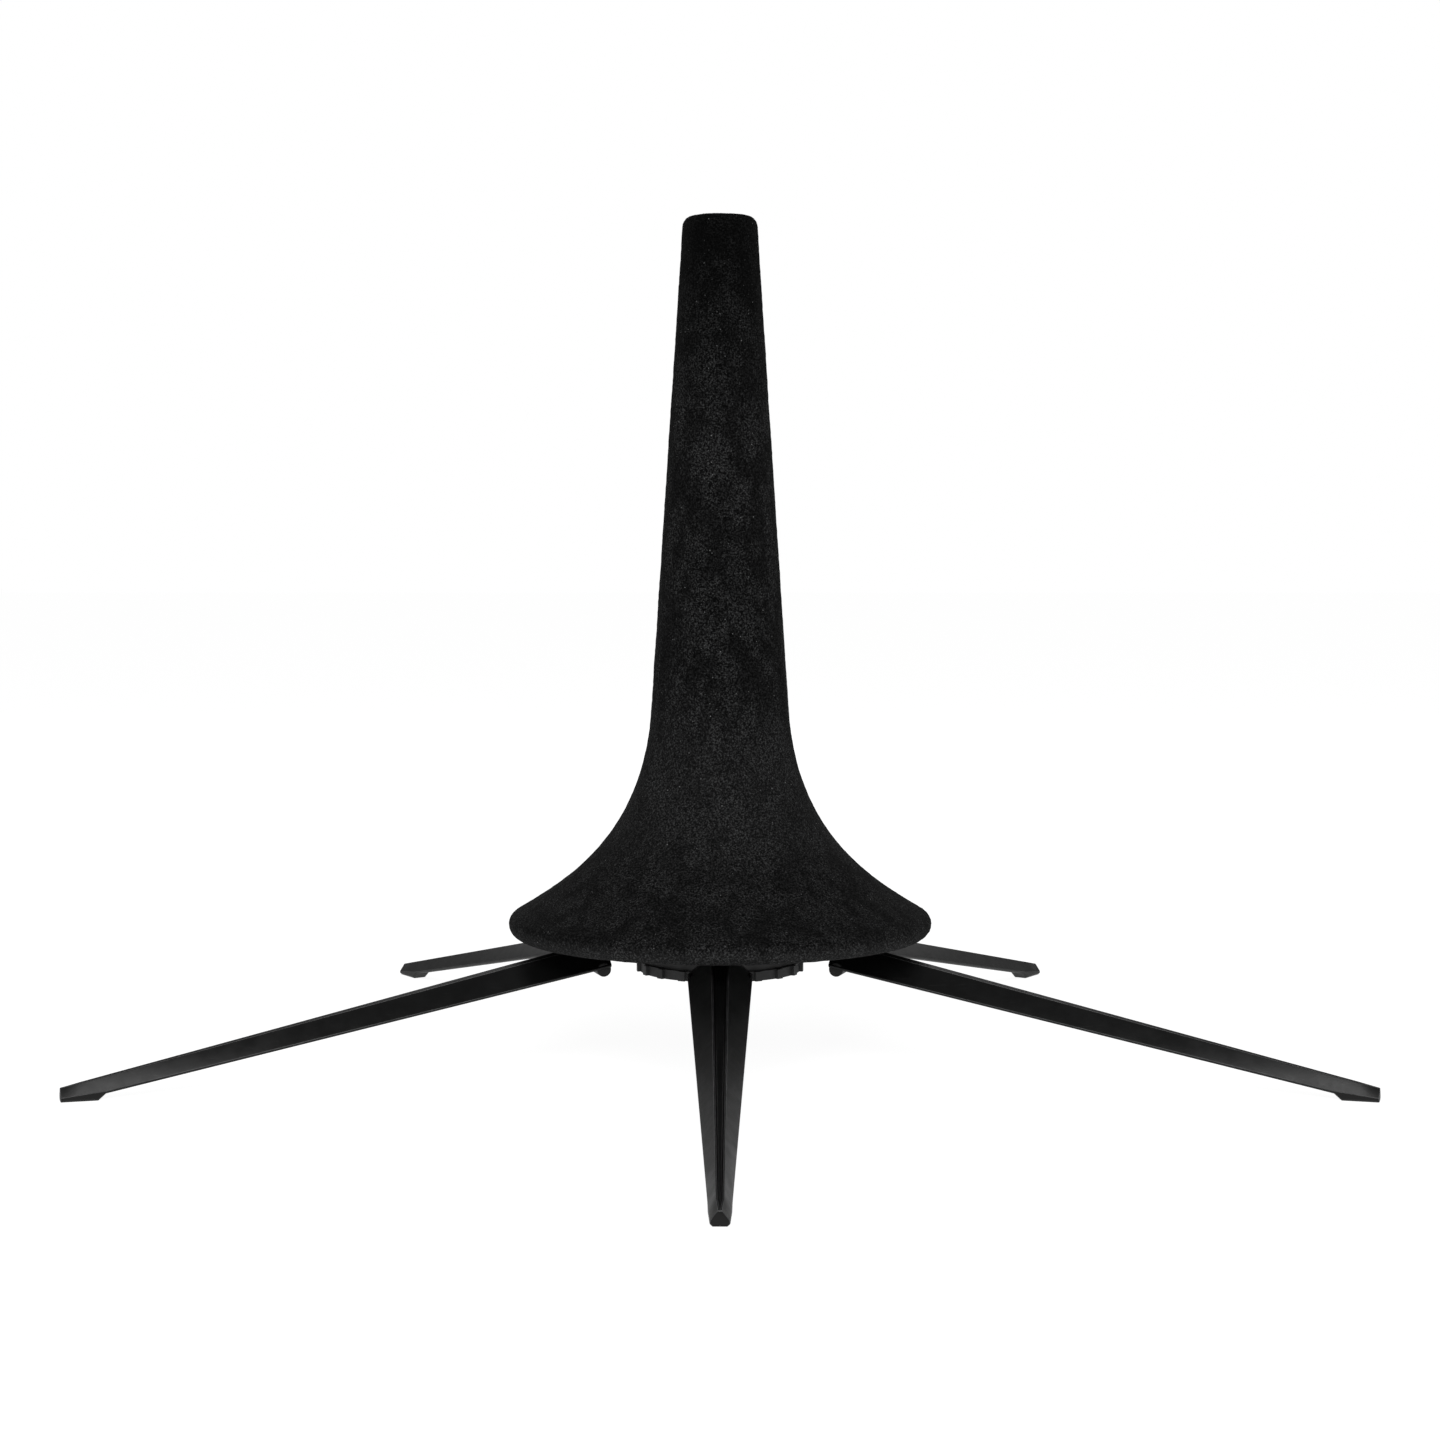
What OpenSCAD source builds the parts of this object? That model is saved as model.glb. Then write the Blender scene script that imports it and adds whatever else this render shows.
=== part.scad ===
// Five-legged table stand with a velour-covered bell peg.
// The origin is on the floor, under the axis of the peg, and leg 1 points towards -Y.
// The legs fold up about steel pins in a two-part hub, into a bundle that fits inside the hollow peg.

/* [Peg] */
// Height of the peg's flat top above the floor
peg_top_z = 130; // [126:0.1:134]
// Radius of the tapered stem at the height stem_ref_z
stem_ref_r = 10.52; // [10.4:0.02:11]
// Radius that the stem gains for each millimetre downwards
stem_taper = 0.0663; // [0.06:0.0001:0.067]
// Radius of the peg's rounded rim, seen in section
rim_r = 1.9; // [1.6:0.1:2.2]
// Distance of the rim's centre from the peg's axis
rim_centre_r = 30.8; // [30:0.1:32]
// Height of the rim's centre above the floor
rim_centre_z = 21.65; // [21.3:0.05:22]
// Angle of the flare to the vertical where it meets the rim
flare_end_angle = 60; // [58:1:64]
// Thickness of the velour cover
velour_t = 0.5; // [0.4:0.05:0.6]
// Wall thickness of the moulded shell
shell_t = 1.7; // [1.5:0.05:1.8]

/* [Legs] */
// Distance from the hub's axis to the end of each foot
foot_r = 100; // [92:0.5:100]
// Distance from the hub's axis to the inner end of the leg's deep part
leg_root_r = 18.8; // [18.5:0.1:19]
// Slope of the leg's ridge, downwards and outwards
ridge_slope = 0.2165; // [0.214:0.0005:0.219]
// Slope of the leg's underside, downwards and outwards
belly_slope = 0.202; // [0.201:0.0005:0.203]
// Width that the leg loses for each millimetre outwards
leg_taper = 0.0897; // [0.089:0.0001:0.091]
// Width of the groove along the ridge, as a share of the leg's width
groove_share = 0.23; // [0.18:0.005:0.26]

/* [Hub] */
// Distance from the axis to each hinge pin
hinge_r = 8.5; // [8.45:0.05:8.6]
// Height of the hinge pins above the floor
hinge_z = 19; // [18.95:0.05:19.05]
// Radius of a hinge pin
pin_r = 0.8; // [0.7:0.05:0.9]
// Width of a leg's hinge arm
arm_w = 5; // [4.6:0.1:5.1]
// Radius of the hub's posts, which the peg's collar slides over
post_r = 11.95; // [11.9:0.01:11.97]
// Radius over the teeth of the grip ring
ring_tip_r = 13; // [12.9:0.05:13.3]
// Radius between the teeth of the grip ring
ring_root_r = 12.5; // [12.3:0.05:12.6]

/* [Hidden] */
$fn = 96;

leg_count = 5;
leg_step = 360 / leg_count;
touch = 0.02;        // gap between faces that rest on each other
run_gap = 0.05;      // radial clearance of parts that turn or slide on each other
thread_gap = 0.01;   // radial gap between a screw and what it is screwed into
cut = 0.5;           // overshoot of a cutting solid

// Peg outline. Points are [distance from the axis, height].
stem_ref_z = 56;
top_corner_r = 1.5;
flare_top_z = 55;
flare_handle_top = 18.5;
flare_handle_end = 11.5;
flare_steps = 14;
corner_steps = 6;
rim_steps = 12;
velour_sweep = 180;        // how far the velour wraps round the rim
bead_sweep = 257;          // how far the shell's bead runs round the rim
stem_lean = atan(stem_taper);
flare_normal = [cos(flare_end_angle), sin(flare_end_angle)];
flare_start = [stem_radius(flare_top_z), flare_top_z];
flare_end = [rim_centre_r, rim_centre_z] + rim_r * flare_normal;
flare_points = [
    flare_start,
    flare_start + flare_handle_top * [sin(stem_lean), -cos(stem_lean)],
    flare_end - flare_handle_end * [sin(flare_end_angle), -cos(flare_end_angle)],
    flare_end
];
corner_z = peg_top_z - top_corner_r;
corner_centre = [stem_radius(corner_z) - top_corner_r / cos(stem_lean), corner_z];

// Hub
ring_z0 = 14.2;
ring_z1 = 15.65;
tooth_count = 20;
tooth_w = 1.1;
arm_gap = 0.15;            // play at each side of a hinge arm
slot_w = arm_w + 2 * arm_gap;
slot_start = 5.75;         // inner end of a slot at the hinge barrels
slot_start_top = 4.9;      // inner end of a slot above the barrels
barrel_r = 2.6;
arm_belly_z = 17.2;        // underside of a hinge arm
sill_r = 11.2;             // inner side of the sill that an open leg rests on
post_top_z = 27;
screw_r = 1.5;
screw_clear = 0.1;
head_pocket_r = 3.3;
head_pocket_z = 16.8;
head_r = 2.75;
head_h = 1.7;
washer_r = 3.1;
washer_t = 0.5;
nut_af = 5.5;              // across the flats
nut_h = 2.4;
nut_gap = 0.1;
nut_z = post_top_z - nut_h - nut_gap;
key_af = 2;                // hexagon socket in the screw's head
key_depth = 1;
pin_half = 5;

// Collar inside the peg
collar_in_r = post_r + 0.1;
collar_out_r = 13.7;
collar_z0 = 21.2;
collar_z1 = 28.6;
lip_r = 10.3;
flange_r = 18.9;
flange_t = 1.4;
boss_pitch_r = 16.2;
boss_r = 2.2;
boss_top_z = 42;
collar_screw_r = 1;
collar_screw_len = 7;
screw_hole_depth = 6.1;    // depth of the screw holes in the shell's bosses
collar_head_r = 1.9;
collar_head_h = 1.2;
recess_len = 2.2;
recess_w = 0.5;
recess_depth = 0.7;
grip_ring_z = 24.5;
grip_ring_r = 0.5;
grip_groove_r = collar_in_r + 2 * grip_ring_r;

// Legs
arm_top_drop = 0.252;      // slope of the arm's upper side
arm_top_z = 21.2;
arm_end_r = 20;
ridge_z0 = 23.6;
belly_z0 = 19.9;
width_0 = 11.44;
leg_edge_h = 0.16;         // height of the upright edge under the sloping side
groove_depth_share = 0.36;
groove_floor_share = 0.7;
lip_w = 0.22;              // width of the narrow land beside the groove
belly_chamfer = 0.22;
leg_sections = 9;
foot_start_r = foot_r - 6.4;
foot_flat_r = foot_r - 5.3;
foot_chamfer = 0.35;
foot_shoulder_z = 0.65;    // height of the sloping side's lower edge at the leg's end
groove_end_r = foot_r - 3; // where the groove begins to run out
groove_end_share = 0.25;   // width left of the groove at the leg's end
heel_r = 1.1;
heel_centre = [leg_root_r + 0.9, 15.8];
heel_w = 9.2;

// Radius of the straight stem at height z
function stem_radius(z) = stem_ref_r + (stem_ref_z - z) * stem_taper;

// Cubic curve through p[0] and p[3], and its direction, for t from 0 to 1
function curve(p, t) =
    pow(1 - t, 3) * p[0] + 3 * t * pow(1 - t, 2) * p[1] + 3 * t * t * (1 - t) * p[2] + pow(t, 3) * p[3];
function curve_direction(p, t) =
    pow(1 - t, 2) * (p[1] - p[0]) + 2 * t * (1 - t) * (p[2] - p[1]) + t * t * (p[3] - p[2]);

// Unit vector to the left of v, which points out of the peg when v runs downwards
function outward(v) = [-v[1], v[0]] / norm(v);

// The flare, moved inwards by d
function flare(d) = [
    for (i = [0 : flare_steps])
        let (t = i / flare_steps)
            curve(flare_points, t) - d * outward(curve_direction(flare_points, t))
];

// The peg's top corner, moved inwards by d. Past its own radius it becomes a sharp corner.
function top_corner(d) =
    d < top_corner_r
    ? [
        for (i = [0 : corner_steps])
            let (a = 90 - i * (90 - stem_lean) / corner_steps)
                corner_centre + (top_corner_r - d) * [cos(a), sin(a)]
    ]
    : [[stem_radius(peg_top_z - d) - d / cos(stem_lean), peg_top_z - d]];

// The peg's outline from the top to the rim, moved inwards by d
function peg_line(d) = concat([[0, peg_top_z - d]], top_corner(d), flare(d));

// Round of the rim, moved inwards by d, from the flare's end on through the angle sweep
function rim_arc(d, sweep, steps) = [
    for (i = [1 : steps])
        let (a = flare_end_angle - i * sweep / steps)
            [rim_centre_r, rim_centre_z] + (rim_r - d) * [cos(a), sin(a)]
];

function reversed(list) = [for (i = [len(list) - 1 : -1 : 0]) list[i]];
function without_last(list) = [for (i = [0 : len(list) - 2]) list[i]];

// Heights and widths of a leg at the distance r from the hub's axis
function ridge_z(r) = ridge_z0 - ridge_slope * r;
function belly_z(r) = belly_z0 - belly_slope * r;
function half_width(r) = (width_0 - leg_taper * r) / 2;

// Height of the lower edge of a leg's sloping side. Over the foot it runs straight on to foot_shoulder_z.
function beam_shoulder_z(r) = belly_z(r) + belly_chamfer + leg_edge_h;
function shoulder_z(r) =
    r < foot_start_r
    ? beam_shoulder_z(r)
    : lookup(r, [[foot_start_r, beam_shoulder_z(foot_start_r)], [foot_r, foot_shoulder_z]]);

// Share of the groove that is left at the distance r: all of it up to groove_end_r, none at the leg's end
function groove_left(r) = lookup(r, [[groove_end_r, 1], [foot_r, 0]]);

// Section across a leg at the distance r, as points in space, with its underside at the height low
function leg_section(r, low, chamfer) =
    let (
        top = ridge_z(r),
        w = half_width(r),
        g = w * groove_share * max(groove_left(r), groove_end_share),
        groove_depth = groove_depth_share * (top - belly_z(r)) * groove_left(r),
        half = [
            [w - chamfer, low],
            [w, low + chamfer],
            [w, shoulder_z(r)],
            [g + lip_w, top],
            [g, top],
            [g * groove_floor_share, top - max(groove_depth, touch)]
        ],
        outline = concat(half, [for (p = reversed(half)) [-p[0], p[1]]])
    )
    [for (p = outline) [p[0], -r, p[1]]];

// Solid through a list of sections with equal point counts
module loft(sections) {
    count = len(sections[0]);
    last = len(sections) - 1;
    polyhedron(
        points = [for (s = sections) for (p = s) p],
        faces = concat(
            [[for (i = [0 : count - 1]) i]],
            [[for (i = [count - 1 : -1 : 0]) last * count + i]],
            [
                for (k = [0 : last - 1])
                    for (i = [0 : count - 1])
                        let (a = k * count + i, b = k * count + (i + 1) % count)
                            each [[a, a + count, b], [b, a + count, b + count]]
            ]
        )
    );
}

// Repeats its children at each leg, turned on by the angle given
module around(offset_angle = 0) {
    for (k = [0 : leg_count - 1]) {
        rotate([0, 0, k * leg_step + offset_angle]) children();
    }
}

// Places its children at leg number n
module at_leg(n) {
    rotate([0, 0, (n - 1) * leg_step]) children();
}

// Rod of radius r along a hinge axis
module hinge_rod(r, half) {
    translate([-half, -hinge_r, hinge_z]) rotate([0, 90, 0]) cylinder(r = r, h = 2 * half);
}

// Upright disc between two heights
module slab(r, z0, z1) {
    translate([0, 0, z0]) cylinder(r = r, h = z1 - z0);
}

// Hexagonal prism of this size across its flats
module hexagon(flats, h) {
    cylinder(r = flats / 2 / cos(30), h = h, $fn = 6);
}

// Slots that let the hinge arms through, between two distances from the axis
module arm_slots(start, end, z0, z1) {
    around() translate([-slot_w / 2, -end, z0]) cube([slot_w, end - start, z1 - z0]);
}

// Five steel pins' half-round seats
module pin_seats() {
    around() hinge_rod(pin_r + thread_gap, pin_half + touch);
}

module hub_base() {
    color([0.2, 0.2, 0.21])
    difference() {
        union() {
            slab(ring_root_r, ring_z0, ring_z1);
            slab(post_r, ring_z0, hinge_z);
            for (k = [0 : tooth_count - 1]) {
                rotate([0, 0, (k + 0.5) * 360 / tooth_count])
                    translate([-tooth_w / 2, ring_root_r - cut, ring_z0])
                        cube([tooth_w, ring_tip_r - ring_root_r + cut, ring_z1 - ring_z0]);
            }
        }
        arm_slots(slot_start, sill_r, ring_z1, hinge_z);
        arm_slots(slot_start, post_r + cut, arm_belly_z - run_gap, hinge_z + cut);
        pin_seats();
        slab(head_pocket_r, ring_z0 - cut, head_pocket_z);
        slab(screw_r + screw_clear, ring_z0, hinge_z + cut);
    }
}

module hub_cap() {
    color([0.12, 0.12, 0.13])
    difference() {
        slab(post_r, hinge_z, post_top_z);
        arm_slots(slot_start, post_r + cut, hinge_z - cut, hinge_z + barrel_r + run_gap);
        arm_slots(slot_start_top, post_r + cut, hinge_z + barrel_r, post_top_z + cut);
        pin_seats();
        slab(screw_r + screw_clear, hinge_z - cut, post_top_z);
        translate([0, 0, nut_z - touch]) hexagon(nut_af + nut_gap, nut_h + cut);
    }
}

module hub_screw() {
    head_top = head_pocket_z - washer_t - touch;
    color([0.75, 0.76, 0.78])
    difference() {
        union() {
            slab(head_r, head_top - head_h, head_top);
            slab(screw_r, head_top - cut, nut_z + nut_h);
        }
        translate([0, 0, head_top - head_h - cut]) hexagon(key_af, cut + key_depth);
    }
}

module hub_washer() {
    color([0.8, 0.8, 0.82])
    difference() {
        slab(washer_r, head_pocket_z - washer_t, head_pocket_z - touch / 2);
        slab(screw_r + screw_clear, head_pocket_z - washer_t - cut, head_pocket_z + cut);
    }
}

module hub_nut() {
    color([0.75, 0.76, 0.78])
    difference() {
        translate([0, 0, nut_z]) hexagon(nut_af, nut_h);
        slab(screw_r + thread_gap, nut_z - cut, nut_z + nut_h + cut);
    }
}

module hinge_pin() {
    color([0.8, 0.81, 0.83]) hinge_rod(pin_r, pin_half);
}

// Rounded heel at the inner end of a leg's underside
module leg_heel() {
    translate([-heel_w / 2, -heel_centre[0], heel_centre[1]])
        rotate([0, 90, 0])
            cylinder(r = heel_r, h = heel_w);
}

// The tapered beam of a leg, with its ridge groove, its heel and the flat foot under its tip
module leg_beam() {
    first_r = leg_root_r - cut;
    step = (foot_start_r - first_r) / leg_sections;
    difference() {
        union() {
            loft(concat(
                [
                    for (i = [0 : leg_sections])
                        let (r = first_r + i * step)
                            leg_section(r, belly_z(r), belly_chamfer)
                ],
                [for (r = [foot_flat_r, groove_end_r, foot_r]) leg_section(r, 0, foot_chamfer)]
            ));
            leg_heel();
        }
        translate([-width_0 / 2, -leg_root_r, 0]) cube([width_0, leg_root_r, ridge_z0]);
    }
}

// Arm from the hinge barrel into the beam
module leg_arm() {
    arm_points = [
        [hinge_r, arm_belly_z],
        [arm_end_r, arm_belly_z],
        [arm_end_r, arm_top_z - arm_top_drop * (arm_end_r - hinge_r)],
        [hinge_r, arm_top_z]
    ];
    rotate([90, 0, -90]) translate([0, 0, -arm_w / 2]) linear_extrude(arm_w) polygon(arm_points);
}

module leg() {
    color([0.17, 0.17, 0.18])
    difference() {
        union() {
            leg_beam();
            leg_arm();
            hinge_rod(barrel_r, arm_w / 2);
        }
        hinge_rod(pin_r + run_gap, arm_w);
    }
}

module peg_shell() {
    shell_in = velour_t + shell_t;
    color([0.1, 0.1, 0.11])
    difference() {
        union() {
            rotate_extrude() polygon(concat(
                peg_line(velour_t),
                rim_arc(velour_t, bead_sweep, 2 * rim_steps),
                reversed(without_last(peg_line(shell_in)))
            ));
            intersection() {
                around(leg_step / 2)
                    translate([0, -boss_pitch_r, collar_z1])
                        cylinder(r = boss_r, h = boss_top_z - collar_z1);
                rotate_extrude() polygon(concat(peg_line(velour_t + shell_t / 2), [[0, rim_centre_z]]));
            }
        }
        around(leg_step / 2)
            translate([0, -boss_pitch_r, collar_z1 - cut])
                cylinder(r = collar_screw_r + thread_gap, h = screw_hole_depth + cut);
    }
}

module velour_cover() {
    color([0.03, 0.03, 0.03])
    rotate_extrude() polygon(concat(
        peg_line(0),
        rim_arc(0, velour_sweep, rim_steps),
        reversed(rim_arc(velour_t, velour_sweep, rim_steps)),
        reversed(peg_line(velour_t))
    ));
}

module peg_collar() {
    color([0.15, 0.15, 0.16])
    difference() {
        union() {
            slab(collar_out_r, collar_z0, collar_z1);
            slab(flange_r, collar_z1 - flange_t, collar_z1);
        }
        slab(collar_in_r, collar_z0 - cut, post_top_z + run_gap);
        slab(lip_r, collar_z0, collar_z1 + cut);
        slab(grip_groove_r, grip_ring_z - grip_ring_r - touch, grip_ring_z + grip_ring_r + touch);
        around(leg_step / 2)
            translate([0, -boss_pitch_r, collar_z0])
                cylinder(r = collar_screw_r + screw_clear, h = collar_z1 - collar_z0 + cut);
    }
}

// Cross recess in a screw's underside, from the height z upwards
module cross_recess(z) {
    for (a = [0, 90]) {
        rotate([0, 0, a])
            translate([-recess_len / 2, -recess_w / 2, z - cut])
                cube([recess_len, recess_w, recess_depth + cut]);
    }
}

module collar_screws() {
    head_z = collar_z1 - flange_t - touch;
    color([0.75, 0.76, 0.78])
    around(leg_step / 2) translate([0, -boss_pitch_r, 0]) difference() {
        union() {
            slab(collar_head_r, head_z - collar_head_h, head_z);
            slab(collar_screw_r, head_z - cut, head_z + collar_screw_len);
        }
        cross_recess(head_z - collar_head_h);
    }
}

module grip_ring() {
    color([0.05, 0.05, 0.05])
    rotate_extrude()
        translate([collar_in_r + grip_ring_r - touch, grip_ring_z])
            circle(r = grip_ring_r, $fn = 32);
}

hub_base();
hub_cap();
hub_screw();
hub_washer();
hub_nut();
at_leg(1) hinge_pin();  // hinge_pin_1
at_leg(2) hinge_pin();  // hinge_pin_2
at_leg(3) hinge_pin();  // hinge_pin_3
at_leg(4) hinge_pin();  // hinge_pin_4
at_leg(5) hinge_pin();  // hinge_pin_5
at_leg(1) leg();  // leg_1
at_leg(2) leg();  // leg_2
at_leg(3) leg();  // leg_3
at_leg(4) leg();  // leg_4
at_leg(5) leg();  // leg_5
peg_shell();
peg_collar();
collar_screws();
grip_ring();
velour_cover();
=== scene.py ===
"""Looks of the five-legged bell stand: velour cover, refined legs, materials, studio and camera."""

import math
import random

import bmesh
import bpy
from mathutils import Matrix, Vector, noise


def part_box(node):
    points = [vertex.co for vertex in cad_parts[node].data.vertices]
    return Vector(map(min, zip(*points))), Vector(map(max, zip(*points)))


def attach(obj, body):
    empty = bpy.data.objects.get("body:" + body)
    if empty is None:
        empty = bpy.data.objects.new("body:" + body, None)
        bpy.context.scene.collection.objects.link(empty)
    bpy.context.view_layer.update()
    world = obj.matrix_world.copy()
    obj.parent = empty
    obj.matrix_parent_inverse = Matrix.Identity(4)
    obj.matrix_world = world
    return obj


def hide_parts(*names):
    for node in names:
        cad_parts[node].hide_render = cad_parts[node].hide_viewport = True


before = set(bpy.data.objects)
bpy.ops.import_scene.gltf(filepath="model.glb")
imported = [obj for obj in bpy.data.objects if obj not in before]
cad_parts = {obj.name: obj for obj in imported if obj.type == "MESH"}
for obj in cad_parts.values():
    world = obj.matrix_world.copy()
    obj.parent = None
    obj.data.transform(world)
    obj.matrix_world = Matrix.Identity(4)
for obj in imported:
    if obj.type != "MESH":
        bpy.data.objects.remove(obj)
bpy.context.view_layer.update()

MM = 0.001
scene = bpy.context.scene


# ---------------------------------------------------------------- sizes, in millimetres

LEG_COUNT = 5
LEG_STEP = math.radians(360 / LEG_COUNT)

# Peg outline: points are (distance from the axis, height)
PEG_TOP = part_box("velour_cover")[1].z / MM
STEM_REF_Z = 56.0
STEM_REF_R = 10.52
STEM_TAPER = 0.0663
TOP_CORNER_R = 1.5
FLARE_TOP_Z = 55.0
FLARE_HANDLE_TOP = 18.5
FLARE_HANDLE_END = 11.5
FLARE_END_ANGLE = math.radians(60)
RIM_R = 1.9
RIM_CENTRE = Vector((30.8, 21.65))
VELOUR_SWEEP = math.radians(180)
VELOUR_T = 0.5
PILE_LUMP, PILE_SWELL, PILE_TUFT = 0.045, 0.05, 0.012
AXIS_GAP = 0.005

# Legs
FOOT_R = -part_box("leg_1")[0].y / MM
LEG_ROOT_R = 18.8
RIDGE_Z0, RIDGE_SLOPE = 23.6, 0.2165
BELLY_Z0, BELLY_SLOPE = 19.9, 0.202
LEG_WIDTH_0, LEG_TAPER = 11.44, 0.0897
GROOVE_SHARE = 0.23
GROOVE_DEPTH_SHARE = 0.36
GROOVE_FLOOR_SHARE = 0.7
GROOVE_END_R, GROOVE_END_SHARE = FOOT_R - 3, 0.25
LAND_W = 0.22
EDGE_H = 0.16
BELLY_CHAMFER, FOOT_CHAMFER = 0.22, 0.35
FOOT_START_R, FOOT_FLAT_R = FOOT_R - 6.4, FOOT_R - 5.3
FOOT_SHOULDER_Z = 0.65
SETBACKS = [0.08, 0.08, 0.12, 0.08, 0.06, 0.15]
END_ROUND, EDGE_REACH = 0.14, 0.06
HINGE_R, HINGE_Z = 8.5, 19.0
BARREL_R, BORE_R = 2.6, 0.85
ARM_W, ARM_BELLY_Z, ARM_TOP_Z, ARM_TOP_DROP, ARM_END_R = 5.0, 17.2, 21.2, 0.252, 20.0
HEEL_R, HEEL_CENTRE, HEEL_W = 1.1, (LEG_ROOT_R + 1.12, 15.8), 9.2


# ---------------------------------------------------------------- small helpers

def new_object(name, bm, smooth_angle=35.0):
    """Makes an object of a bmesh in millimetres, smooth apart from edges sharper than smooth_angle."""
    bmesh.ops.scale(bm, vec=(MM, MM, MM), verts=bm.verts)
    bmesh.ops.recalc_face_normals(bm, faces=bm.faces)
    mesh = bpy.data.meshes.new(name)
    bm.to_mesh(mesh)
    bm.free()
    mesh.shade_smooth()
    mesh.set_sharp_from_angle(angle=math.radians(smooth_angle))
    piece = bpy.data.objects.new(name, mesh)
    scene.collection.objects.link(piece)
    return piece


def skin(bm, rings):
    """Joins closed rings of vertices, in order, into a tube with both ends capped."""
    for near, far in zip(rings, rings[1:]):
        for k in range(len(near)):
            n = (k + 1) % len(near)
            bm.faces.new((near[k], near[n], far[n], far[k]))
    bm.faces.new(rings[0][::-1])
    bm.faces.new(rings[-1])


def evenly(points, count):
    """The polyline points, resampled to count points a constant distance apart."""
    reach = [0.0]
    for a, b in zip(points, points[1:]):
        reach.append(reach[-1] + (b - a).length)
    found, k = [], 0
    for i in range(count):
        s = reach[-1] * i / (count - 1)
        while k < len(points) - 2 and reach[k + 1] < s:
            k += 1
        span = reach[k + 1] - reach[k]
        found.append(points[k].lerp(points[k + 1], (s - reach[k]) / span if span else 0.0))
    return found


def normals_of(line):
    """Unit normals of a polyline of 2D points that runs down the peg, pointing away from the axis."""
    found = []
    for i in range(len(line)):
        along = line[min(i + 1, len(line) - 1)] - line[max(i - 1, 0)]
        found.append(Vector((-along.y, along.x)).normalized())
    return found


# ---------------------------------------------------------------- velour cover

def stem_radius(z):
    return STEM_REF_R + (STEM_REF_Z - z) * STEM_TAPER


def peg_outline():
    """Outer line of the cover, from the axis on the flat top down to where the velour ends under the rim."""
    lean = math.atan(STEM_TAPER)
    corner_z = PEG_TOP - TOP_CORNER_R
    corner = Vector((stem_radius(corner_z) - TOP_CORNER_R / math.cos(lean), corner_z))
    line = [Vector((0.02, PEG_TOP)), Vector((corner.x * 0.5, PEG_TOP))]
    for i in range(13):
        a = math.pi / 2 - i / 12 * (math.pi / 2 - lean)
        line.append(corner + TOP_CORNER_R * Vector((math.cos(a), math.sin(a))))
    p0 = Vector((stem_radius(FLARE_TOP_Z), FLARE_TOP_Z))
    p3 = RIM_CENTRE + RIM_R * Vector((math.cos(FLARE_END_ANGLE), math.sin(FLARE_END_ANGLE)))
    p1 = p0 + FLARE_HANDLE_TOP * Vector((math.sin(lean), -math.cos(lean)))
    p2 = p3 - FLARE_HANDLE_END * Vector((math.sin(FLARE_END_ANGLE), -math.cos(FLARE_END_ANGLE)))
    for i in range(61):
        t = i / 60
        line.append((1 - t) ** 3 * p0 + 3 * t * (1 - t) ** 2 * p1 + 3 * t * t * (1 - t) * p2 + t ** 3 * p3)
    for i in range(1, 41):
        a = FLARE_END_ANGLE - i / 40 * VELOUR_SWEEP
        line.append(RIM_CENTRE + RIM_R * Vector((math.cos(a), math.sin(a))))
    return line


def build_velour(name):
    """The cover as a closed skin: an outer side with an uneven pile, a rounded cut edge and an inner side."""
    segments, outer_rows, inner_rows = 288, 284, 34
    seed = random.Random(7)
    outer = evenly(peg_outline(), outer_rows)
    outer_n = normals_of(outer)
    inner_line = evenly(peg_outline(), inner_rows)
    inner = [p - VELOUR_T * n for p, n in zip(inner_line, normals_of(inner_line))]
    end, end_n = outer[-1], outer_n[-1]
    along = Vector((end_n.y, -end_n.x))
    lip = [end + along * VELOUR_T * 0.25 - end_n * VELOUR_T * 0.2,
           end + along * VELOUR_T * 0.25 - end_n * VELOUR_T * 0.8]
    bm = bmesh.new()
    rings = []
    for row, p in enumerate(outer + lip + inner[::-1]):
        ring = []
        for k in range(segments):
            a = 2 * math.pi * k / segments
            radius, height = p.x, p.y
            if row < outer_rows:
                at = Vector((radius * math.cos(a), radius * math.sin(a), height))
                tuft = PILE_LUMP * noise.noise(at / 0.9) + PILE_SWELL * noise.noise(at / 5.0)
                tuft += seed.gauss(0, PILE_TUFT)
                tuft *= min(1.0, radius / 3.0)
                radius += outer_n[row].x * tuft
                height += outer_n[row].y * tuft
            radius = max(radius, AXIS_GAP)
            ring.append(bm.verts.new((radius * math.cos(a), radius * math.sin(a), height)))
        rings.append(ring)
    skin(bm, rings)
    return new_object(name, bm, smooth_angle=70)


# ---------------------------------------------------------------- legs

def ridge_z(r):
    return RIDGE_Z0 - RIDGE_SLOPE * r


def belly_z(r):
    return BELLY_Z0 - BELLY_SLOPE * r


def half_width(r):
    return (LEG_WIDTH_0 - LEG_TAPER * r) / 2


def shoulder_z(r):
    """Height of the lower edge of a leg's sloping side, which runs straight on over the foot."""
    beam = belly_z(min(r, FOOT_START_R)) + BELLY_CHAMFER + EDGE_H
    over_foot = max(0.0, (r - FOOT_START_R) / (FOOT_R - FOOT_START_R))
    return beam + (FOOT_SHOULDER_Z - beam) * over_foot


def rounded(outline, setbacks, steps=4):
    """A closed outline of 2D points with each corner rounded, starting its round at that corner's setback."""
    found = []
    for i, p in enumerate(outline):
        before, after = outline[i - 1] - p, outline[(i + 1) % len(outline)] - p
        a = p + before.normalized() * min(setbacks[i], before.length * 0.45)
        b = p + after.normalized() * min(setbacks[i], after.length * 0.45)
        for k in range(steps + 1):
            t = k / steps
            found.append((1 - t) ** 2 * a + 2 * t * (1 - t) * p + t * t * b)
    return found


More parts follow.
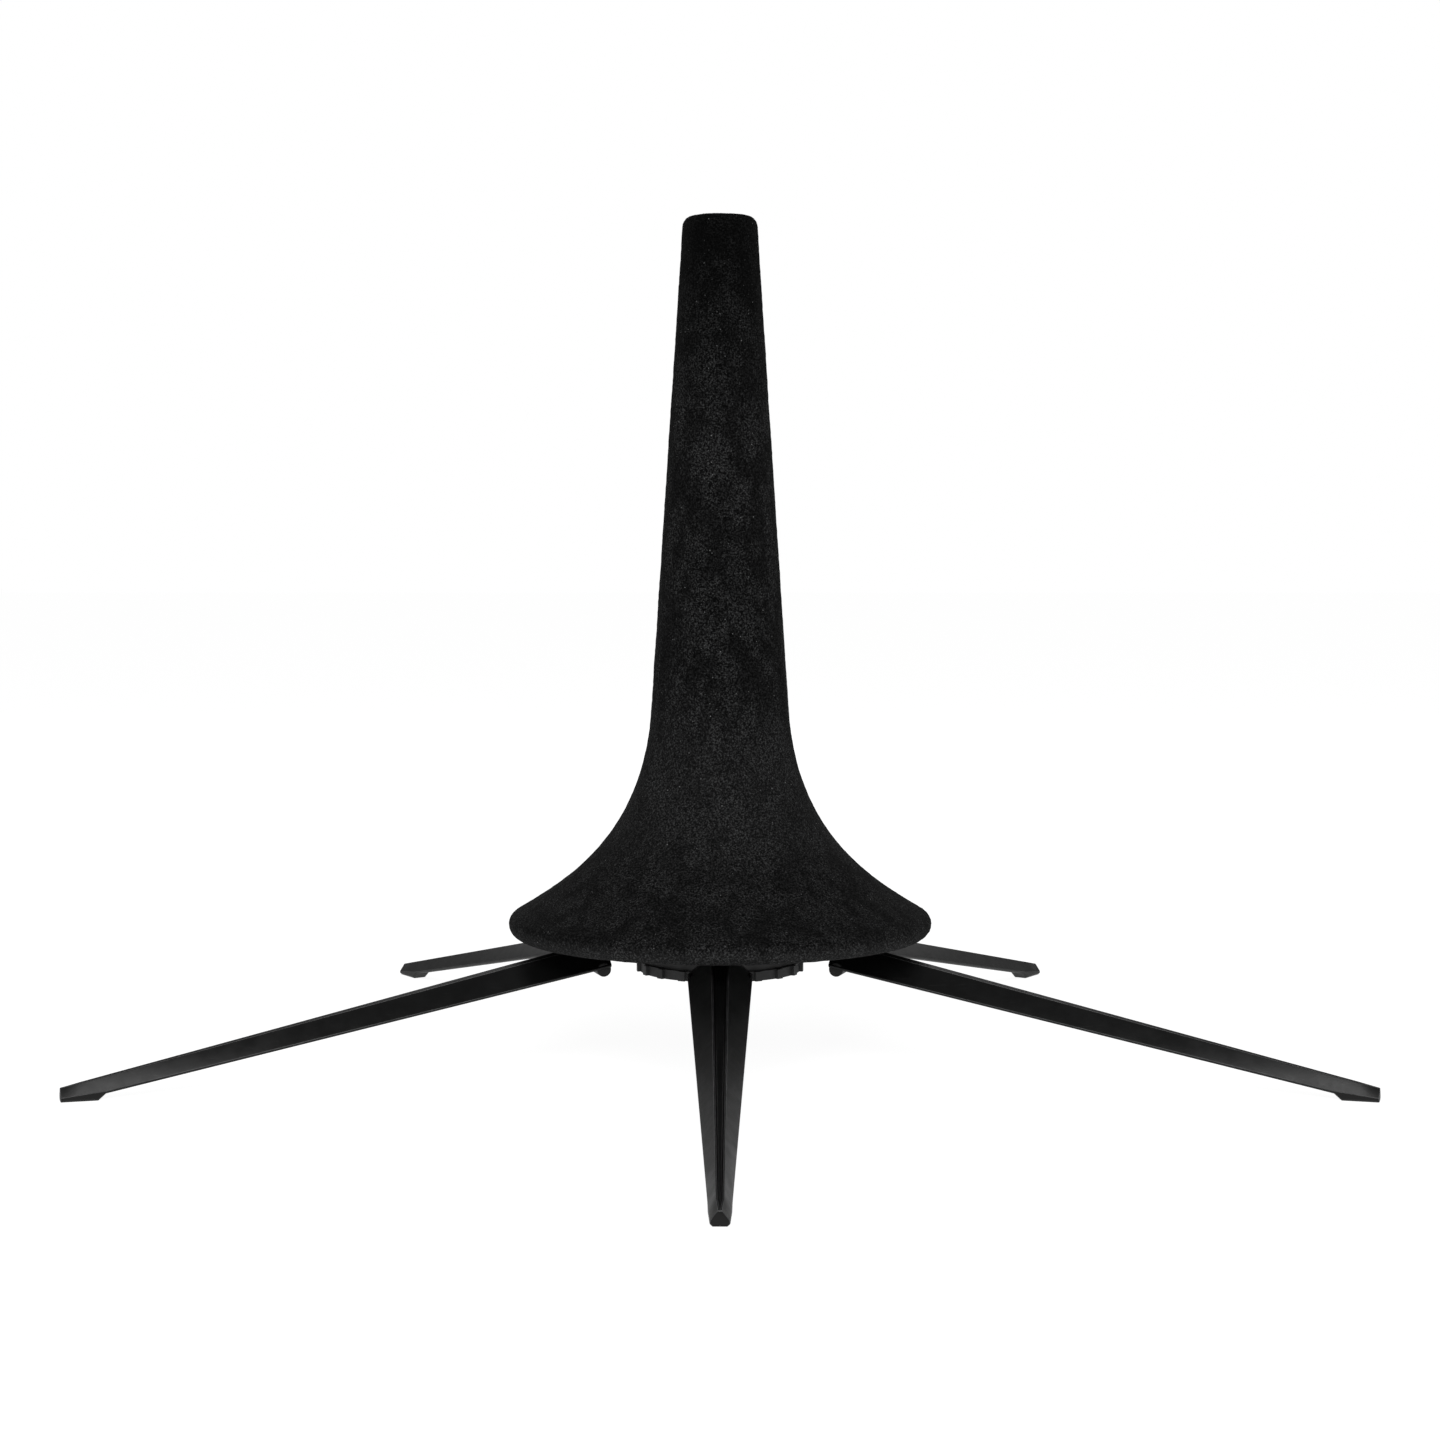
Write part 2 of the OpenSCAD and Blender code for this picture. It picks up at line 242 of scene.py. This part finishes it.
def half_corners(r, low, chamfer):
    """Corners (across, height) of half the section of a leg, at the distance r from the hub's axis."""
    top = ridge_z(r)
    w = half_width(r)
    groove_left = min(1.0, max(0.0, (FOOT_R - r) / (FOOT_R - GROOVE_END_R)))
    groove_depth = max(0.02, GROOVE_DEPTH_SHARE * (top - belly_z(r)) * groove_left)
    g = w * GROOVE_SHARE * max(groove_left, GROOVE_END_SHARE)
    return [
        Vector((w - chamfer, low)),
        Vector((w, low + chamfer)),
        Vector((w, shoulder_z(r))),
        Vector((g + LAND_W, top)),
        Vector((g, top)),
        Vector((g * GROOVE_FLOOR_SHARE, top - groove_depth)),
    ]


def leg_section(r, low, chamfer):
    """Rounded section across a leg, as 2D points."""
    half = half_corners(r, low, chamfer)
    outline = half + [Vector((-p.x, p.y)) for p in reversed(half)]
    return rounded(outline, SETBACKS + SETBACKS[::-1])


def shrunk(section, amount):
    """A section drawn in towards its middle by about amount, for the round at the end of a leg."""
    low = Vector((min(p.x for p in section), min(p.y for p in section)))
    high = Vector((max(p.x for p in section), max(p.y for p in section)))
    middle = (low + high) / 2
    share = Vector((1 - 2 * amount / (high.x - low.x), 1 - 2 * amount / (high.y - low.y)))
    return [middle + (p - middle) * share for p in section]


def beam_mesh():
    """The tapered beam of a leg that points to -Y, with its ridge groove and its foot."""
    stations = []
    count = 36
    for i in range(count + 1):
        r = LEG_ROOT_R + END_ROUND + (FOOT_START_R - LEG_ROOT_R - END_ROUND) * i / count
        stations.append((r, leg_section(r, belly_z(r), BELLY_CHAMFER)))
    foot_count = 12
    for i in range(foot_count + 1):
        r = FOOT_FLAT_R + (FOOT_R - END_ROUND - FOOT_FLAT_R) * i / foot_count
        stations.append((r, leg_section(r, 0.0, FOOT_CHAMFER)))
    first, last = stations[0][1], stations[-1][1]
    for a in (math.radians(30), math.radians(60), math.radians(90)):
        short, drawn_in = END_ROUND * (1 - math.sin(a)), END_ROUND * (1 - math.cos(a))
        stations.insert(0, (LEG_ROOT_R + short, shrunk(first, drawn_in)))
        stations.append((FOOT_R - short, shrunk(last, drawn_in)))
    bm = bmesh.new()
    rings = [[bm.verts.new((p.x, -r, p.y)) for p in section] for r, section in stations]
    skin(bm, rings)
    bmesh.ops.recalc_face_normals(bm, faces=bm.faces)
    return bm


def rod_mesh(centre, radius, half, edge=0.15, segments=64):
    """A round bar along X with rounded edges. centre is (distance from the hub's axis, height)."""
    turns = [math.radians(a) for a in (0, 30, 60, 90)]
    profile = [(half - edge * (1 - math.sin(a)), radius - edge * (1 - math.cos(a))) for a in turns]
    profile = [(-x, r) for x, r in reversed(profile)] + profile
    bm = bmesh.new()
    rings = []
    for x, r in profile:
        rings.append([
            bm.verts.new((x, -centre[0] + r * math.cos(2 * math.pi * k / segments),
                          centre[1] + r * math.sin(2 * math.pi * k / segments)))
            for k in range(segments)
        ])
    skin(bm, rings)
    bmesh.ops.recalc_face_normals(bm, faces=bm.faces)
    return bm


def arm_mesh():
    """The hinge arm, with rounded long edges."""
    half, edge = ARM_W / 2, 0.18
    bm = bmesh.new()
    rings = []
    for r in (HINGE_R, (HINGE_R + ARM_END_R) / 2, ARM_END_R):
        top = ARM_TOP_Z - ARM_TOP_DROP * (r - HINGE_R)
        box = [Vector(p) for p in ((-half, ARM_BELLY_Z), (half, ARM_BELLY_Z), (half, top), (-half, top))]
        rings.append([bm.verts.new((p.x, -r, p.y)) for p in rounded(box, [edge] * 4)])
    skin(bm, rings)
    bmesh.ops.recalc_face_normals(bm, faces=bm.faces)
    return bm


def boolean(body, tool, operation):
    """Joins or cuts body with tool, exactly, and removes the tool."""
    modifier = body.modifiers.new(operation, "BOOLEAN")
    modifier.operation = operation
    modifier.solver = "EXACT"
    modifier.object = tool
    graph = bpy.context.evaluated_depsgraph_get()
    done = bpy.data.meshes.new_from_object(body.evaluated_get(graph))
    body.modifiers.clear()
    body.data = done
    bpy.data.objects.remove(tool)


def plain_object(name, bm):
    mesh = bpy.data.meshes.new(name)
    bm.to_mesh(mesh)
    bm.free()
    piece = bpy.data.objects.new(name, mesh)
    scene.collection.objects.link(piece)
    return piece


def mark_edges(mesh):
    """Stores 0 to 1 for how close each vertex is to a leg's upper edges, and 1 over the tip's end face: a
    painted highlight, where the material is made paler.
    """
    highlight_values = mesh.attributes.new("edge_highlight", "FLOAT", "POINT")
    for vertex, value in zip(mesh.vertices, highlight_values.data):
        r = -vertex.co.y
        at = Vector((abs(vertex.co.x), vertex.co.z))
        on_end = FOOT_R - END_ROUND * 0.8 < r < FOOT_R - END_ROUND * 0.1 and at.y > FOOT_CHAMFER
        upper = half_corners(r, belly_z(r), BELLY_CHAMFER)[2:5]
        near = min((at - corner).length for corner in upper)
        value.value = 1.0 if on_end else max(0.0, 1.0 - near / EDGE_REACH)


def build_leg_mesh():
    """One leg in millimetres, pointing to -Y: beam, hinge arm, barrel and heel in one skin, and a bore."""
    leg = plain_object("leg_parts", beam_mesh())
    parts = [
        ("arm", arm_mesh()),
        ("heel", rod_mesh(HEEL_CENTRE, HEEL_R, HEEL_W / 2)),
        ("barrel", rod_mesh((HINGE_R, HINGE_Z), BARREL_R, ARM_W / 2)),
    ]
    for name, bm in parts:
        boolean(leg, plain_object(name, bm), "UNION")
    boolean(leg, plain_object("bore", rod_mesh((HINGE_R, HINGE_Z), BORE_R, ARM_W)), "DIFFERENCE")
    mesh = leg.data
    bpy.data.objects.remove(leg)
    mark_edges(mesh)
    return mesh


def build_legs():
    template = build_leg_mesh()
    found = []
    for k in range(LEG_COUNT):
        bm = bmesh.new()
        bm.from_mesh(template)
        bmesh.ops.rotate(bm, cent=(0, 0, 0), matrix=Matrix.Rotation(k * LEG_STEP, 3, "Z"), verts=bm.verts)
        found.append(new_object(f"moulded_leg_{k + 1}", bm, smooth_angle=32))
    bpy.data.meshes.remove(template)
    return found


# ---------------------------------------------------------------- materials

class Tree:
    """Short calls for building one material's nodes. Texture coordinates are the object's, in millimetres."""

    def __init__(self, name):
        self.material = bpy.data.materials.new(name)
        self.material.use_nodes = True
        self.nodes = self.material.node_tree.nodes
        self.links = self.material.node_tree.links
        self.shader = self.nodes["Principled BSDF"]
        place = self.nodes.new("ShaderNodeTexCoord")
        self.millimetres = self.nodes.new("ShaderNodeMapping")
        self.millimetres.inputs["Scale"].default_value = (1 / MM, 1 / MM, 1 / MM)
        self.links.new(place.outputs["Object"], self.millimetres.inputs["Vector"])

    def set(self, **values):
        for name, value in values.items():
            self.shader.inputs[name.replace("_", " ")].default_value = value

    def stretched(self, scale):
        """The coordinates, scaled by three numbers."""
        node = self.nodes.new("ShaderNodeMapping")
        node.inputs["Scale"].default_value = scale
        self.links.new(self.millimetres.outputs["Vector"], node.inputs["Vector"])
        return node.outputs["Vector"]

    def noise(self, size, detail=2.0, roughness=0.5, where=None):
        """Noise from 0 to 1 whose lumps are about size millimetres across."""
        node = self.nodes.new("ShaderNodeTexNoise")
        node.inputs["Scale"].default_value = 1 / size
        node.inputs["Detail"].default_value = detail
        node.inputs["Roughness"].default_value = roughness
        self.links.new(where or self.millimetres.outputs["Vector"], node.inputs["Vector"])
        return node.outputs["Fac"]

    def spots(self, spacing, radius, share):
        """1 in small round spots: a share of the cells of this spacing has one, of about this radius."""
        cells = self.nodes.new("ShaderNodeTexVoronoi")
        cells.inputs["Scale"].default_value = 1 / spacing
        self.links.new(self.millimetres.outputs["Vector"], cells.inputs["Vector"])
        chosen = self.math("LESS_THAN", self.split(cells.outputs["Color"]), share)
        near = self.ramp(cells.outputs["Distance"], radius / spacing, 0.5 * radius / spacing)
        return self.math("MULTIPLY", chosen, near)

    def attribute(self, name):
        node = self.nodes.new("ShaderNodeAttribute")
        node.attribute_name = name
        return node.outputs["Fac"]

    def height(self):
        """Height above the floor in millimetres."""
        node = self.nodes.new("ShaderNodeSeparateXYZ")
        self.links.new(self.millimetres.outputs["Vector"], node.inputs["Vector"])
        return node.outputs["Z"]

    def split(self, colour):
        node = self.nodes.new("ShaderNodeSeparateColor")
        self.links.new(colour, node.inputs["Color"])
        return node.outputs["Red"]

    def math(self, operation, a, b):
        node = self.nodes.new("ShaderNodeMath")
        node.operation = operation
        for socket, value in zip(node.inputs, (a, b)):
            if isinstance(value, (int, float)):
                socket.default_value = value
            else:
                self.links.new(value, socket)
        return node.outputs["Value"]

    def ramp(self, value, start, end, low=0.0, high=1.0):
        """value mapped smoothly from start..end to low..high, and held beyond them."""
        node = self.nodes.new("ShaderNodeMapRange")
        node.interpolation_type = "SMOOTHSTEP"
        for name, number in (("From Min", start), ("From Max", end), ("To Min", low), ("To Max", high)):
            node.inputs[name].default_value = number
        self.links.new(value, node.inputs["Value"])
        return node.outputs["Result"]

    def mix(self, share, a, b):
        """Colour a where share is 0, and b where it is 1."""
        node = self.nodes.new("ShaderNodeMix")
        node.data_type = "RGBA"
        self.links.new(share, node.inputs["Factor"])
        for socket, value in ((node.inputs[6], a), (node.inputs[7], b)):
            if isinstance(value, tuple):
                socket.default_value = (*value, 1.0)
            else:
                self.links.new(value, socket)
        return node.outputs[2]

    def bump(self, height, depth, strength=1.0, below=None):
        """Bump of about depth millimetres, laid over the bump below."""
        node = self.nodes.new("ShaderNodeBump")
        node.inputs["Distance"].default_value = depth * MM
        node.inputs["Strength"].default_value = strength
        self.links.new(height, node.inputs["Height"])
        if below is not None:
            self.links.new(below, node.inputs["Normal"])
        return node.outputs["Normal"]

    def connect(self, output, name):
        self.links.new(output, self.shader.inputs[name])


def grey(value, tint=0.0):
    """A neutral colour, slightly blue where tint is above 0."""
    return (value * (1 - tint), value, value * (1 + tint))


def velour_material():
    """Black pile: fine grain, patches brushed lighter and darker, and a few pale flecks of lint. Painted
    shade darkens the top of the stem; painted light brightens the upward-facing flare and the lower edge of
    the rim.
    """
    t = Tree("velour")
    t.set(Roughness=1.0, Specular_IOR_Level=0.05, Sheen_Weight=0.012, Sheen_Roughness=0.6)
    grain = t.ramp(t.noise(0.26, 3.0, 0.8), 0.44, 0.68)
    colour = t.mix(grain, grey(0.002, 0.02), grey(0.082, 0.01))
    brushed = t.ramp(t.noise(3.6, 4.0, 0.7, t.stretched((1.0, 1.0, 0.6))), 0.40, 0.60, 0.65, 0.0)
    colour = t.mix(brushed, colour, grey(0.003))
    # Painted shade: the pile is made darker towards the top of the stem.
    painted_top_shade = t.ramp(t.height(), 96.0, 128.0, 0.0, 0.75)
    colour = t.mix(painted_top_shade, colour, grey(0.001))
    # Painted light: the upward-facing flare is made paler, as if it caught more light from above.
    painted_flare_light = t.math("MULTIPLY", t.ramp(t.height(), 62.0, 46.0), t.ramp(t.height(), 29.0, 37.0, 0.2, 1.0))
    colour = t.mix(t.math("MULTIPLY", painted_flare_light, t.ramp(grain, 0.0, 1.0, 0.05, 0.45)), colour, grey(0.09, 0.01))
    # Painted light: the lower edge of the rim is made paler all round, as if lit from below.
    rim = t.ramp(t.height(), 22.6, 20.6, 0.0, 0.4)
    colour = t.mix(t.math("MULTIPLY", rim, t.ramp(grain, 0.0, 1.0, 0.25, 1.0)), colour, grey(0.13, 0.01))
    tufts = t.ramp(t.noise(1.5, 3.0, 0.7), 0.48, 0.62)
    lint = t.spots(0.6, 0.1, 0.3)
    colour = t.mix(t.math("MULTIPLY", lint, t.ramp(tufts, 0.0, 1.0, 0.15, 0.8)), colour, grey(0.28, 0.01))
    flecks = t.spots(1.6, 0.11, 0.22)
    colour = t.mix(t.math("MULTIPLY", flecks, 0.9), colour, grey(0.34))
    t.connect(colour, "Base Color")
    lumps = t.bump(t.noise(1.1, 2.0), 0.05)
    t.connect(t.bump(t.noise(0.22, 3.0, 0.7), 0.06, 1.0, lumps), "Normal")
    return t.material


def moulded_material(name, dark, light, rough_low, rough_high, grain=0.01, grain_size=0.12, edges=0.0):
    """Moulded black plastic: spark-eroded grain, uneven gloss, fine handling scratches and a little dust.
    With edges above 0, a painted highlight along a leg's upper edges and end face.
    """
    t = Tree(name)
    t.set(IOR=1.5)
    cloud = t.ramp(t.noise(7.0, 4.0, 0.6), 0.3, 0.7)
    colour = t.mix(cloud, dark, light)
    scratch = t.ramp(t.noise(0.5, 2.0, 0.6, t.stretched((0.05, 2.2, 1.6))), 0.66, 0.74)
    colour = t.mix(t.math("MULTIPLY", scratch, 0.25), colour, grey(0.07, 0.02))
    # Painted highlight: paler colour along the upper edges and the tip's end face, standing in for light
    # caught by the rounded edges.
    if edges:
        patchy = t.ramp(t.noise(2.2, 3.0, 0.7), 0.35, 0.65, 0.4, 1.0)
        colour = t.mix(t.math("MULTIPLY", t.attribute("edge_highlight"), patchy), colour, grey(edges, 0.02))
    dust = t.spots(2.6, 0.07, 0.1)
    colour = t.mix(t.math("MULTIPLY", dust, 0.7), colour, grey(0.3))
    t.connect(colour, "Base Color")
    gloss = t.ramp(t.noise(3.0, 4.0, 0.6), 0.3, 0.7, rough_low, rough_high)
    t.connect(gloss, "Roughness")
    rippled = t.bump(t.noise(4.0, 2.0), 0.03)
    t.connect(t.bump(t.noise(grain_size, 2.0, 0.6), grain, 0.6, rippled), "Normal")
    return t.material


def metal_material(name, dark, light, rough_low, rough_high, lay):
    """Plated or ground steel, uneven in tone and gloss. Its fine lines run where lay's number is smallest."""
    t = Tree(name)
    t.set(Metallic=1.0)
    cloud = t.ramp(t.noise(1.6, 4.0, 0.6), 0.3, 0.7)
    t.connect(t.mix(cloud, dark, light), "Base Color")
    lines = t.noise(0.25, 3.0, 0.6, t.stretched(lay))
    t.connect(t.ramp(lines, 0.25, 0.75, rough_low, rough_high), "Roughness")
    t.connect(t.bump(lines, 0.006, 0.7), "Normal")
    return t.material


def rubber_material():
    t = Tree("rubber")
    t.set(IOR=1.5)
    cloud = t.ramp(t.noise(2.0, 3.0), 0.3, 0.7)
    t.connect(t.mix(cloud, grey(0.012), grey(0.024)), "Base Color")
    t.connect(t.ramp(t.noise(0.8, 3.0), 0.3, 0.7, 0.6, 0.8), "Roughness")
    t.connect(t.bump(t.noise(0.15, 2.0), 0.01, 0.6), "Normal")
    return t.material


def wear(piece, material):
    """Gives every slot of a piece this material."""
    if not piece.material_slots:
        piece.data.materials.append(material)
    for slot in piece.material_slots:
        slot.material = material


# ---------------------------------------------------------------- studio

WORLD_SIDES, WORLD_TOP = 0.22, 0.12
FADE_START, FADE_END = 0.3, 0.8
FLOOR_REACH, FLOOR_TONE = 4000.0, 0.6
FLOOR_GLOW, FLOOR_GLOW_SEEN = 0.3, 0.9
CAMERA_PLACE, CAMERA_DOWN, CAMERA_LENS = (0.0, -0.401, 0.080), 3.85, 65.0


def build_world():
    """A white background, and soft light that is strongest at the height of the horizon."""
    world = bpy.data.worlds.new("studio")
    scene.world = world
    world.use_nodes = True
    nodes, links = world.node_tree.nodes, world.node_tree.links
    nodes.clear()
    white = nodes.new("ShaderNodeBackground")
    soft = nodes.new("ShaderNodeBackground")
    direction = nodes.new("ShaderNodeTexCoord")
    height = nodes.new("ShaderNodeSeparateXYZ")
    links.new(direction.outputs["Generated"], height.inputs["Vector"])
    fade = nodes.new("ShaderNodeMapRange")
    fade.inputs["From Min"].default_value = FADE_START
    fade.inputs["From Max"].default_value = FADE_END
    fade.inputs["To Min"].default_value = WORLD_SIDES
    fade.inputs["To Max"].default_value = WORLD_TOP
    links.new(height.outputs["Z"], fade.inputs["Value"])
    links.new(fade.outputs["Result"], soft.inputs["Strength"])
    seen = nodes.new("ShaderNodeLightPath")
    choose = nodes.new("ShaderNodeMixShader")
    out = nodes.new("ShaderNodeOutputWorld")
    links.new(seen.outputs["Is Camera Ray"], choose.inputs["Fac"])
    links.new(soft.outputs["Background"], choose.inputs[1])
    links.new(white.outputs["Background"], choose.inputs[2])
    links.new(choose.outputs["Shader"], out.inputs["Surface"])
    for node in (white, soft):
        node.inputs["Color"].default_value = (1, 1, 1, 1)


def build_floor():
    """A plain white floor, as pale as the background, with a faint shadow. It throws little light up."""
    bm = bmesh.new()
    bmesh.ops.create_grid(bm, x_segments=8, y_segments=8, size=FLOOR_REACH)
    floor = new_object("floor", bm)
    material = bpy.data.materials.new("floor_white")
    material.use_nodes = True
    nodes, links = material.node_tree.nodes, material.node_tree.links
    shader = nodes["Principled BSDF"]
    shader.inputs["Base Color"].default_value = (*[FLOOR_TONE] * 3, 1)
    shader.inputs["Roughness"].default_value = 1.0
    shader.inputs["Specular IOR Level"].default_value = 0.0
    shader.inputs["Emission Color"].default_value = (1, 1, 1, 1)
    seen = nodes.new("ShaderNodeLightPath")
    glow = nodes.new("ShaderNodeMapRange")
    glow.inputs["To Min"].default_value = FLOOR_GLOW
    glow.inputs["To Max"].default_value = FLOOR_GLOW_SEEN
    links.new(seen.outputs["Is Camera Ray"], glow.inputs["Value"])
    links.new(glow.outputs["Result"], shader.inputs["Emission Strength"])
    floor.data.materials.append(material)


def build_camera():
    data = bpy.data.cameras.new("camera")
    data.lens = CAMERA_LENS
    data.sensor_width = 36.0
    data.clip_start = 0.01
    data.clip_end = 20.0
    camera = bpy.data.objects.new("camera", data)
    camera.location = CAMERA_PLACE
    camera.rotation_euler = (math.radians(90 - CAMERA_DOWN), 0.0, 0.0)
    scene.collection.objects.link(camera)
    scene.camera = camera


def area_light(name, place, aim, size, radiance):
    """A soft panel, in millimetres, whose face is radiance times as bright as white."""
    place, aim = Vector(place) * MM, Vector(aim) * MM
    size = (size[0] * MM, size[1] * MM)
    power = radiance * math.pi * size[0] * size[1]
    data = bpy.data.lights.new(name, "AREA")
    data.shape = "RECTANGLE"
    data.size, data.size_y = size
    data.energy = power
    lamp = bpy.data.objects.new(name, data)
    lamp.location = place
    lamp.rotation_euler = (aim - place).to_track_quat("-Z", "Y").to_euler()
    lamp.visible_camera = False
    scene.collection.objects.link(lamp)


def build_lights():
    """A broad panel in front and above, a narrow low one behind on the right, and a broad one behind."""
    area_light("front_top", (0, -600, 440), (0, 0, 20), (640, 290), 2.9)
    area_light("back_right", (150, 330, 14), (0, -90, 6), (150, 28), 0.4)
    area_light("back", (0, 700, 290), (0, 0, 10), (800, 320), 0.7)


# ---------------------------------------------------------------- assembly

build_camera()
build_world()
build_floor()
build_lights()
scene.view_settings.view_transform = "Standard"

velour = velour_material()
# edges=0.16 is the tone of the painted highlight along the legs' upper edges and end faces.
leg_plastic = moulded_material("leg_plastic", grey(0.003, 0.02), grey(0.006, 0.02), 0.28, 0.38, edges=0.16)
hub_plastic = moulded_material("hub_plastic", grey(0.046, 0.01), grey(0.070, 0.01), 0.42, 0.56, 0.02, 0.15)
shell_plastic = moulded_material("shell_plastic", grey(0.012), grey(0.020), 0.4, 0.55)
zinc_dark, zinc_light = (0.52, 0.53, 0.55), (0.66, 0.67, 0.69)
zinc = metal_material("zinc", zinc_dark, zinc_light, 0.24, 0.42, lay=(1.0, 1.0, 1.0))
pin_dark, pin_light = (0.50, 0.51, 0.53), (0.60, 0.61, 0.63)
ground_steel = metal_material("ground_steel", pin_dark, pin_light, 0.18, 0.34, lay=(0.2, 0.2, 3.0))
rubber = rubber_material()

cover = build_velour("velour_skin")
wear(cover, velour)
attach(cover, "peg")
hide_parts("velour_cover")

for number, leg in enumerate(build_legs(), start=1):
    wear(leg, leg_plastic)
    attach(leg, f"leg_{number}")
    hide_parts(f"leg_{number}")

NODE_MATERIALS = {
    "hub_base": hub_plastic,
    "hub_cap": hub_plastic,
    "hub_screw": zinc,
    "hub_washer": zinc,
    "hub_nut": zinc,
    "collar_screws": zinc,
    "peg_shell": shell_plastic,
    "peg_collar": shell_plastic,
    "grip_ring": rubber,
    "velour_cover": velour,
}
for name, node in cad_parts.items():
    if name.startswith("hinge_pin"):
        wear(node, ground_steel)
    elif name.startswith("leg_"):
        wear(node, leg_plastic)
    else:
        wear(node, NODE_MATERIALS[name])
